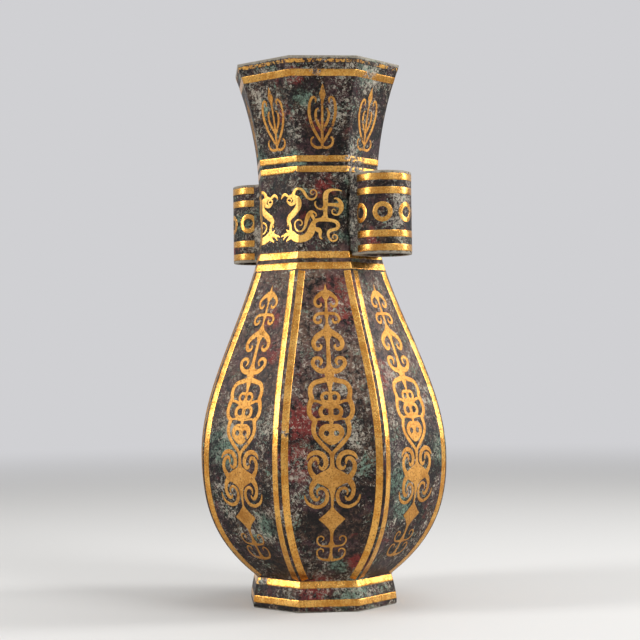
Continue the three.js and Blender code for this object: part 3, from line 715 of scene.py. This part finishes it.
scroll = {
    "relief": 0.07,
    "middle": [  # strokes on the axis of the drawing: across, height, half width
        [(0, 141.4, 0.1), (0, 139.8, 0.4), (0, 138.1, 1.1), (0, 136.7, 1.9), (0, 135.2, 1.2), (0, 134.2, 0.6),
         (0, 131.8, 0.5), (0, 129.1, 0.7), (0, 127.9, 1.0), (0, 126.4, 0.6), (0, 124.8, 0.5), (0, 123.4, 0.9),
         (0, 121.9, 1.7), (0, 120.2, 2.4), (0, 118.6, 1.7), (0, 116.9, 0.9), (0, 114.1, 0.8), (0, 110.3, 0.9),
         (0, 106.5, 1.1), (0, 104.6, 2.2), (0, 102.8, 2.2), (0, 101.1, 1.8), (0, 99.1, 1.4), (0, 96.8, 0.8),
         (0, 94.5, 0.7), (0, 90.3, 1.1), (0, 88.9, 0.8), (0, 85.7, 0.9), (0, 83.4, 1.1), (0, 81.6, 0.7),
         (0, 79.7, 0.7), (0, 77.4, 1.0), (0, 75.8, 1.6), (0, 74.4, 1.0), (0, 72.8, 0.15)],
        [(0, 69.6, 0.5), (0, 68.7, 0.8), (0, 65.0, 0.9), (0, 63.4, 1.6), (0, 62.4, 3.4), (0, 61.3, 5.6),
         (0, 59.9, 7.4), (0, 58.7, 8.2), (0, 57.6, 7.0), (0, 56.4, 4.2), (0, 55.0, 1.9), (0, 53.4, 1.1),
         (0, 50.6, 0.7), (0, 48.3, 0.55), (0, 46.8, 0.6), (0, 44.2, 3.0), (0, 42.3, 5.3), (0, 41.8, 5.7),
         (0, 41.3, 5.2), (0, 39.2, 2.8), (0, 37.1, 1.1), (0, 35.4, 0.7), (0, 32.4, 0.7), (0, 31.0, 1.3),
         (0, 29.9, 1.0), (0, 28.8, 0.6), (0, 26.3, 0.6), (0, 24.8, 1.0), (0, 23.4, 1.3)],
    ],
    "side": [
        [(0.7, 138.0, 0.98), (2.5, 136.7, 0.98), (4.1, 135.3, 0.73), (4.8, 133.8, 0.59), (4.4, 132.2, 0.64),
         (3.2, 131.5, 0.64), (2.2, 132.1, 0.44), (2.2, 133.0, 0.24)],
        [(0.5, 128.5, 0.68), (1.9, 128.5, 0.68), (3.8, 128.2, 0.68), (5.1, 127.0, 0.59), (5.3, 125.6, 0.59),
         (4.4, 124.5, 0.64), (3.1, 124.6, 0.59), (2.5, 125.5, 0.44), (2.8, 126.4, 0.24)],
        [(0.5, 121.2, 1.17), (2.6, 119.8, 1.22), (4.6, 118.4, 1.17), (6.0, 116.5, 0.98), (6.0, 114.6, 0.93),
         (5.0, 113.2, 0.88), (3.5, 113.3, 0.68), (2.8, 114.5, 0.44), (3.5, 115.2, 0.24)],
        [(1.1, 104.0, 1.37), (3.3, 103.8, 1.08), (5.3, 104.8, 0.98), (6.6, 106.4, 0.88), (6.8, 108.0, 0.83),
         (5.8, 109.2, 0.78), (4.1, 109.3, 0.73), (3.1, 108.2, 0.64), (3.4, 106.9, 0.44), (4.0, 106.3, 0.24)],
        [(0.6, 100.5, 1.17), (3.7, 99.7, 1.03), (6.5, 98.9, 0.98), (8.1, 97.0, 0.98), (8.4, 94.6, 0.98),
         (7.9, 92.2, 1.08), (8.6, 90.5, 1.08), (9.1, 88.6, 0.98), (9.1, 86.6, 0.98), (8.3, 84.6, 0.98),
         (6.9, 83.2, 1.08), (7.4, 81.2, 0.98), (7.5, 79.0, 0.93), (6.8, 76.6, 0.88), (4.8, 74.1, 0.88),
         (2.5, 71.7, 0.83), (0.8, 70.0, 0.73), (0.2, 68.2, 0.68)],
        [(8.2, 91.2, 0.68), (6.2, 91.4, 0.59), (4.3, 90.8, 0.68), (2.2, 90.1, 0.88), (0.3, 89.6, 0.98)],
        [(7.0, 83.3, 0.78), (5.6, 83.7, 0.44), (3.9, 83.9, 0.59), (2.1, 83.8, 0.78), (0.2, 83.7, 0.88)],
        ringStroke(1.75, 92.8, 1.86, 0.66),
        ringStroke(2.1, 86.8, 2.3, 0.85),
        ringStroke(2.1, 77.9, 1.85, 0.7),
        [(0.2, 80.6, 0.6), (1.6, 81.1, 0.7), (3.4, 80.6, 0.75), (4.5, 79.2, 0.75), (4.5, 77.4, 0.8),
         (3.4, 75.9, 0.85), (1.9, 74.6, 0.8), (0.4, 73.4, 0.5)],
        [(10.6, 67.0, 0.2), (9.8, 68.5, 0.64), (8.4, 69.6, 0.88), (6.3, 70.0, 0.98), (4.1, 69.1, 1.03),
         (2.8, 67.1, 1.03), (2.7, 64.8, 0.98), (3.8, 63.3, 0.83), (5.0, 63.6, 0.59), (5.5, 64.6, 0.29)],
        [(5.6, 58.2, 1.47), (7.7, 60.1, 1.17), (9.2, 62.6, 0.93), (9.4, 65.2, 0.88), (8.2, 67.2, 0.83),
         (6.6, 67.5, 0.73), (5.8, 66.2, 0.49), (5.9, 65.1, 0.24)],
        [(5.1, 60.0, 1.47), (7.0, 58.2, 1.32), (8.3, 56.5, 1.17), (8.9, 54.3, 0.88), (8.4, 52.0, 0.88),
         (7.1, 50.4, 0.83), (5.9, 50.5, 0.54), (5.4, 51.7, 0.29)],
        [(11.6, 52.4, 0.15), (11.3, 50.8, 0.44), (10.4, 49.1, 0.59), (8.8, 47.9, 0.68), (6.6, 47.2, 0.73),
         (4.2, 47.8, 0.78), (2.6, 49.6, 0.83), (2.1, 52.2, 0.78), (3.0, 54.3, 0.68), (4.8, 55.1, 0.64),
         (6.1, 54.4, 0.54), (6.4, 53.2, 0.39), (6.1, 52.2, 0.24)],
        [(0.2, 30.1, 0.78), (2.5, 30.0, 0.44), (4.6, 30.4, 0.37), (5.9, 31.8, 0.34), (6.0, 33.5, 0.34),
         (4.9, 34.5, 0.32), (3.6, 34.1, 0.29), (3.3, 33.1, 0.24), (4.0, 32.6, 0.15)],
        [(0.2, 23.6, 0.78), (2.8, 23.7, 0.49), (4.8, 24.6, 0.42), (5.8, 26.2, 0.37), (5.8, 28.0, 0.34),
         (4.6, 28.9, 0.32), (3.4, 28.4, 0.29), (3.3, 27.3, 0.2)],
    ],
}
drawing = helperCurve("scroll_drawing", scroll["middle"] + scroll["side"] + moved(scroll["side"], -1))
for panel in range(panelCount):
    node = f"panel_scroll_{panel + 1}"
    addInlay("gold_" + node, panelInlay, drawing, scroll["relief"], panel * panelTurn, scrollGold,
             node, step=0.45)
bpy.data.objects.remove(drawing)
print("panel scrolls laid")


dragon = {
    "relief": 0.07,
    "base": 160.0,  # height of its feet
    "strokes": [  # distance along the collar from the middle of the front panel, height over base, half width
        [(7.9, 20.7, 1.0), (8.5, 22.1, 0.85), (9.6, 23.1, 0.65), (11.1, 23.4, 0.5), (12.3, 23.0, 0.55),
         (13.3, 21.9, 0.64), (14.1, 20.4, 0.59), (15.0, 19.2, 0.5), (16.3, 18.7, 0.45), (17.5, 18.9, 0.41),
         (18.4, 19.7, 0.36), (18.9, 20.9, 0.32), (18.7, 22.1, 0.27), (17.9, 22.8, 0.27), (16.9, 22.8, 0.27),
         (16.2, 22.0, 0.27), (16.4, 21.1, 0.23), (17.0, 20.8, 0.18), (17.5, 21.1, 0.14)],
        [(1.0, 19.5, 0.15), (1.5, 20.4, 0.45), (2.3, 21.1, 0.65), (3.2, 21.4, 0.65), (4.3, 20.8, 0.6),
         (5.3, 20.2, 0.5), (6.7, 20.4, 0.7), (7.9, 20.6, 1.0)],
        [(6.9, 18.5, 0.4), (6.7, 18.9, 0.4), (6.3, 19.3, 0.4), (5.6, 19.5, 0.4), (5.0, 19.4, 0.4), (4.5, 19.1, 0.4),
         (4.3, 18.7, 0.4), (4.4, 18.3, 0.4), (4.9, 17.9, 0.4), (5.5, 17.7, 0.4), (6.2, 17.8, 0.4), (6.7, 18.1, 0.4),
         "closed"],
        [(4.2, 18.9, 0.25), (4.5, 18.0, 0.35), (5.3, 17.2, 0.5), (6.5, 16.7, 0.65), (7.7, 17.0, 0.8),
         (8.7, 17.6, 1.1)],
        [(7.3, 20.0, 0.8), (8.3, 19.6, 1.2), (9.0, 19.2, 1.5), (10.0, 18.5, 1.7)],
        [(9.6, 19.1, 1.7), (10.4, 18.0, 1.6), (10.8, 16.7, 1.32), (10.3, 15.3, 1.45), (9.1, 13.9, 1.5),
         (7.4, 12.5, 1.45), (5.9, 11.5, 1.45), (4.9, 10.3, 1.25), (4.9, 9.0, 1.0), (5.6, 8.0, 0.8), (5.9, 6.6, 0.7),
         (5.9, 5.5, 0.9), (6.5, 4.1, 1.5), (8.2, 2.4, 1.8), (10.7, 1.5, 1.7), (12.6, 1.6, 1.64), (14.4, 2.4, 1.73),
         (15.6, 3.9, 1.73), (16.3, 5.6, 1.64), (16.7, 7.2, 1.36), (17.1, 8.5, 1.0)],
        [(4.6, 7.3, 0.2), (3.9, 7.7, 0.2), (4.4, 8.2, 0.4), (5.4, 8.5, 0.6)],
        [(15.5, 12.7, 0.82), (14.9, 11.8, 0.95), (14.4, 10.6, 0.91), (13.9, 9.0, 0.73), (13.6, 7.4, 0.59),
         (13.0, 6.0, 0.5), (12.0, 5.0, 0.41), (10.8, 4.7, 0.36), (9.4, 5.4, 0.4), (8.5, 6.7, 0.4), (8.3, 8.1, 0.4),
         (9.0, 9.2, 0.4), (10.4, 9.8, 0.4), (11.5, 9.5, 0.32), (12.1, 8.6, 0.27), (11.9, 7.7, 0.27),
         (11.3, 7.3, 0.23), (10.6, 7.7, 0.18)],
        [(15.0, 11.6, 0.91), (15.5, 12.8, 0.82), (16.4, 13.3, 0.64), (17.4, 13.1, 0.41), (18.1, 12.5, 0.32),
         (18.4, 11.7, 0.23), (17.9, 11.2, 0.18)],
        [(16.0, 12.7, 0.64), (16.5, 11.6, 0.73), (17.1, 10.4, 0.64), (17.7, 9.6, 0.55)],
        [(16.9, 7.9, 1.09), (17.6, 9.0, 0.91), (19.2, 9.7, 0.82), (21.7, 9.9, 0.91), (24.2, 9.6, 0.77),
         (26.1, 9.2, 0.77), (27.5, 8.3, 0.82), (27.9, 6.9, 0.86), (27.2, 5.8, 0.77), (25.8, 5.4, 0.68),
         (24.4, 5.0, 0.73), (23.6, 4.1, 0.68), (23.7, 2.7, 0.55), (24.3, 1.3, 0.45), (25.6, 0.4, 0.41),
         (26.9, 0.6, 0.41), (27.7, 1.5, 0.32), (27.5, 2.6, 0.27), (26.5, 3.2, 0.27), (25.6, 2.8, 0.23),
         (25.6, 1.9, 0.18), (26.2, 1.5, 0.14)],
        [(22.0, 9.6, 2.0), (22.1, 10.7, 1.55), (22.3, 11.8, 1.0), (22.4, 13.5, 0.86), (22.5, 15.1, 0.91),
         (22.6, 16.7, 1.0), (22.7, 18.4, 1.14), (22.8, 20.0, 1.18), (23.2, 21.4, 1.09), (24.2, 22.3, 0.82),
         (25.7, 22.8, 0.55), (27.4, 22.8, 0.41), (29.0, 22.6, 0.27), (30.0, 22.2, 0.14)],
        [(22.7, 16.5, 0.82), (24.4, 16.4, 0.68), (26.3, 16.3, 0.73), (28.0, 16.1, 0.91), (29.0, 15.6, 0.91)],
        [(26.4, 18.9, 0.23), (27.3, 19.1, 0.36), (28.2, 18.6, 0.59), (29.1, 17.6, 0.82), (29.5, 16.1, 1.09),
         (29.5, 14.6, 1.0), (28.8, 13.0, 0.73), (27.8, 12.0, 0.45), (26.6, 11.9, 0.36), (25.6, 12.4, 0.32),
         (25.3, 13.4, 0.27), (25.8, 14.3, 0.23), (26.6, 14.2, 0.18), (26.8, 13.6, 0.14)],
        [(22.0, 15.2, 0.73), (20.9, 14.5, 0.45), (19.5, 14.6, 0.36), (18.5, 15.4, 0.36), (18.0, 16.4, 0.32),
         (18.1, 17.4, 0.27), (18.6, 17.9, 0.14)],
        [(17.2, 6.2, 0.91), (18.2, 5.6, 0.91), (19.3, 5.3, 1.09), (20.0, 4.2, 0.82), (20.0, 2.9, 0.59),
         (20.3, 1.9, 0.45), (21.1, 1.2, 0.18)],
        [(6.3, 4.3, 1.3), (4.6, 4.1, 1.1), (3.2, 3.7, 0.75), (1.9, 3.4, 0.5), (0.9, 3.2, 0.35), (0.3, 2.7, 0.1)],
        [(3.4, 3.5, 0.7), (2.6, 2.6, 0.45), (2.0, 1.9, 0.3), (1.7, 1.3, 0.1)],
        [(6.0, 2.6, 1.2), (4.9, 1.7, 0.65), (4.0, 1.1, 0.4), (3.8, 0.5, 0.1)],
        [(5.0, 4.8, 0.8), (4.0, 5.4, 0.45), (3.4, 6.0, 0.15)],
    ],
}
# the dragons are laid in the gold whose brighter tints are a painted highlight
rightDrawing = helperCurve("dragon_right", moved(dragon["strokes"], 1, dragon["base"]))
leftDrawing = helperCurve("dragon_left", moved(dragon["strokes"], -1, dragon["base"]))
for where, drawing, turn in (("front_right", rightDrawing, 0), ("front_left", leftDrawing, 0),
                             ("back_left", rightDrawing, math.pi), ("back_right", leftDrawing, math.pi)):
    node = "collar_dragon_" + where
    addInlay("gold_" + node, panelInlay, drawing, dragon["relief"], turn, dragonGoldPaintedHighlight, node, step=0.4)
bpy.data.objects.remove(rightDrawing)
bpy.data.objects.remove(leftDrawing)
print("collar dragons laid")


plume = {
    "relief": 0.05,
    "middle": [[(0, 201.2, 0.6), (0, 205, 0.6), (0, 212, 0.55), (0, 219, 0.5), (0, 221.4, 0.7), (0, 223.6, 1.5),
                (0, 225.2, 1.1), (0, 228.2, 0.1)]],
    "side": [
        [(0.3, 203.4, 0.5), (2.0, 206.0, 0.6), (4.4, 210.6, 0.65), (5.7, 215.6, 0.65), (5.5, 220.2, 0.6),
         (4.2, 222.6, 0.55), (2.9, 221.9, 0.45), (3.1, 220.3, 0.3)],
        [(0.3, 208.6, 0.5), (1.7, 211.2, 0.6), (2.8, 214.2, 0.6), (2.7, 217.0, 0.5), (1.7, 218.0, 0.35)],
        [(0.2, 201.4, 0.6), (2.4, 201.2, 0.6), (4.3, 202.5, 0.55), (4.7, 204.8, 0.45), (3.7, 205.8, 0.35)],
    ],
}
drawing = helperCurve("plume_drawing", plume["middle"] + plume["side"] + moved(plume["side"], -1))
for panel in range(panelCount):
    addInlay(f"gold_neck_plume_{panel + 1}", panelInlay, drawing, plume["relief"], panel * panelTurn, neckGold,
             step=0.5)
bpy.data.objects.remove(drawing)
print("neck plumes laid")


def earPlan(side, distance, radius):
    # outer outline with its saddle, and the bore, point by point round the tube's axis
    rows = []
    reach, half = ear["saddle"]
    bore = radius - ear["wall"]
    edgeAngle = 125.0  # where the saddle leaves the tube, from its outermost line
    count = 128
    for index in range(count):
        degrees = index / count * 360 - 180
        angle = math.radians(degrees)
        if abs(degrees) <= edgeAngle:
            outer = (distance + radius * math.cos(angle), radius * math.sin(angle))
        else:
            start = (radius * math.cos(math.radians(edgeAngle)), radius * math.sin(math.radians(edgeAngle)))
            far = (reach - distance, half)
            direction = (math.cos(angle), abs(math.sin(angle)))
            edge = (far[0] - start[0], far[1] - start[1])
            bottom = direction[0] * edge[1] - direction[1] * edge[0]
            gap = (start[0] * edge[1] - start[1] * edge[0]) / bottom
            if direction[0] * gap < far[0] or gap < 0:
                gap = far[0] / direction[0]
            outer = (distance + direction[0] * gap, math.copysign(direction[1] * gap, math.sin(angle)))
        inner = (distance + bore * math.cos(angle), bore * math.sin(angle))
        rows.append((*((side * x * mm, side * y * mm, 0) for x, y in (outer, inner)), 0.0))
    return rows


def earSection():
    low, high, bend = ear["bottom"], ear["top"], ear["rounding"]
    rows = [(0.75, low, 0.8), (0.94, low + bend * 0.25, 1.0)]
    length = high - low - 2 * bend
    outsideRows, insideRows = 26, 8
    edgeWear = {0: 0.9, 1: 0.3}  # by the number of rows from either end
    for i in range(outsideRows + 1):
        rows.append((1.0, low + bend + length * i / outsideRows, edgeWear.get(min(i, outsideRows - i), 0.0)))
    rows += [(0.94, high - bend * 0.25, 1.0), (0.75, high, 0.9), (0.5, high, 0.8), (0.25, high, 0.9),
             (0.06, high - bend * 0.25, 1.0)]
    rows += [(0.0, high - bend - length * i / insideRows, 0.0) for i in range(insideRows + 1)]
    rows += [(0.06, low + bend * 0.25, 1.0), (0.25, low, 0.8)]
    return [(share, z * mm, wear) for share, z, wear in rows]


earGold = {
    "relief": 0.07,
    "halfAngle": 125,  # how far round the bands go each way
    "bands": [(185.8, 188.8), (179.8, 182.8), (161.2, 164.2), (155.2, 158.2)],
    "ringHeight": 172.0,
    "ringAngles": [0, 55, 110, -55, -110],
    "ringRadii": (4.4, 2.3),
}
for side, label, turn in ((1, "right", 0), (-1, "left", math.pi)):
    tube = ear["size"][label]
    tubePiece = addWall("ear_" + label, wallTree, earPlan(side, *tube), earSection(), earBronze,
                        vessel["unevenness"])
    keepPiece(tubePiece, "ear_tube_" + label)
    reach = math.radians(earGold["halfAngle"]) * tube[1]
    count = 40
    for index, (low, high) in enumerate(earGold["bands"]):
        half = (high - low) / 2
        middle = (low + high) / 2
        stroke = [(-reach + 2 * reach * i / count, middle, half) for i in range(count + 1)]
        drawing = helperCurve("ear_band", [stroke])
        node = f"ear_band_{label}_{index + 1}"
        addInlay("gold_" + node, earInlay, drawing, earGold["relief"], turn, bandGold, node, step=0.8,
                 tube=tube)
        bpy.data.objects.remove(drawing)
    outer, inner = earGold["ringRadii"]
    for index, degrees in enumerate(earGold["ringAngles"]):
        middle = math.radians(degrees) * tube[1]
        drawing = helperCurve("ear_ring", [ringStroke(middle, earGold["ringHeight"], (outer + inner) / 2,
                                                      (outer - inner) / 2, 24)])
        node = f"ear_ring_{label}_{index + 1}"
        addInlay("gold_" + node, earInlay, drawing, earGold["relief"], turn, bandGold, node, step=0.5,
                 tube=tube)
        bpy.data.objects.remove(drawing)
bpy.data.objects.remove(wallCurve)
bpy.data.objects.remove(strokeSection)
print("ears made")

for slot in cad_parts["base_plate"].material_slots:
    slot.material = plateBronze


studio = {
    "floor": tint(216, 215, 213),
    "backdrop": tint(208, 208, 211),
    "fadeFrom": 0.45,  # metres from the middle of the floor
    "fadeTo": 1.3,
    "floorReach": 6.0,
    "worldStrength": 0.45,
    "lampSpread": 90,
    "lampAim": (0, 0, 0.12),
}


def makeFloor():
    mesh = bpy.data.meshes.new("floor")
    reach = studio["floorReach"]
    corners = [(-reach, -reach, 0), (reach, -reach, 0), (reach, reach, 0), (-reach, reach, 0)]
    mesh.from_pydata(corners, [], [(0, 1, 2, 3)])
    floor = addObject("floor", mesh)
    material, start, place = newMaterial("pale floor")
    gap = start.node("ShaderNodeVectorMath", {"operation": "LENGTH"}, {0: place}, out="Value")
    seen = start.node("ShaderNodeLightPath", out="Is Camera Ray")
    fade = gap.above(studio["fadeFrom"], studio["fadeTo"]) * seen
    matte = start.node("ShaderNodeBsdfPrincipled", {}, {"Base Color": studio["floor"], "Roughness": 0.65,
                                                        "Specular IOR Level": 0.2})
    plain = start.node("ShaderNodeEmission", {}, {"Color": studio["backdrop"], "Strength": 1.0})
    mixed = start.node("ShaderNodeMixShader", {}, {0: fade, 1: matte, 2: plain})
    output = start.tree.nodes.new("ShaderNodeOutputMaterial")
    start.tree.links.new(mixed.socket, output.inputs["Surface"])
    mesh.materials.append(material)


def makeWorld():
    world = bpy.data.worlds.new("studio")
    world.use_nodes = True
    world.node_tree.nodes.clear()
    start = Wire(world.node_tree)
    path = start.node("ShaderNodeLightPath")
    seen = path.math("MAXIMUM", path.math("MAXIMUM", path.other("Is Camera Ray"), path.other("Is Glossy Ray")),
                     path.other("Is Transmission Ray"))
    soft = start.node("ShaderNodeBackground", {}, {"Color": (1, 1, 1, 1), "Strength": studio["worldStrength"]})
    plain = start.node("ShaderNodeBackground", {}, {"Color": studio["backdrop"], "Strength": 1.0})
    mixed = start.node("ShaderNodeMixShader", {}, {0: seen, 1: soft, 2: plain})
    output = start.tree.nodes.new("ShaderNodeOutputWorld")
    start.tree.links.new(mixed.socket, output.inputs["Surface"])
    bpy.context.scene.world = world


lamps = {  # direction and height, distance, width and height in metres, power in watts
    "left strip": (-124, 0.62, 1.05, (0.3, 0.8), 2.1),
    "right strip": (43, 0.55, 1.05, (0.26, 0.7), 2.2),
    "front softbox": (0, 0.8, 1.1, (0.5, 0.5), 1.7),
    "top softbox": (70, 1.3, 0.3, (0.6, 0.6), 0.7),
}


def makeLamps():
    for label, (direction, up, away, size, power) in lamps.items():
        light = bpy.data.lights.new(label, "AREA")
        light.shape = "RECTANGLE"
        light.size, light.size_y, light.energy = *size, power
        light.spread = math.radians(studio["lampSpread"])
        lamp = addObject(label, light)
        spot = Vector((away * math.cos(math.radians(direction)), away * math.sin(math.radians(direction)), up))
        lamp.location = spot
        lamp.rotation_euler = (Vector(studio["lampAim"]) - spot).to_track_quat("-Z", "Y").to_euler()


shot = {
    "azimuth": 40.05,  # degrees round the vase from its front panel
    "pitch": 1.5257,
    "roll": -0.7661,
    "distance": 0.67941,
    "height": 0.10855,
    "lens": 84.375,
    "shift": 0.00128,
}


def makeCamera():
    azimuth, pitch, roll = (math.radians(shot[key]) for key in ("azimuth", "pitch", "roll"))
    forward = Vector((-math.sin(azimuth) * math.cos(pitch), math.cos(azimuth) * math.cos(pitch), math.sin(pitch)))
    level = Vector((math.cos(azimuth), math.sin(azimuth), 0))
    upright = level.cross(forward)
    right = level * math.cos(roll) + upright * math.sin(roll)
    up = upright * math.cos(roll) - level * math.sin(roll)
    data = bpy.data.cameras.new("camera")
    data.sensor_width = 36
    data.lens = shot["lens"]
    data.shift_x = shot["shift"]
    camera = addObject("camera", data)
    distance = shot["distance"]
    place = Vector((distance * math.sin(azimuth), -distance * math.cos(azimuth), shot["height"]))
    camera.matrix_world = Matrix.Translation(place) @ Matrix((right, up, -forward)).transposed().to_4x4()
    bpy.context.scene.camera = camera


makeFloor()
makeWorld()
makeLamps()
makeCamera()
print("studio lit")
bpy.context.scene.view_settings.view_transform = "Standard"
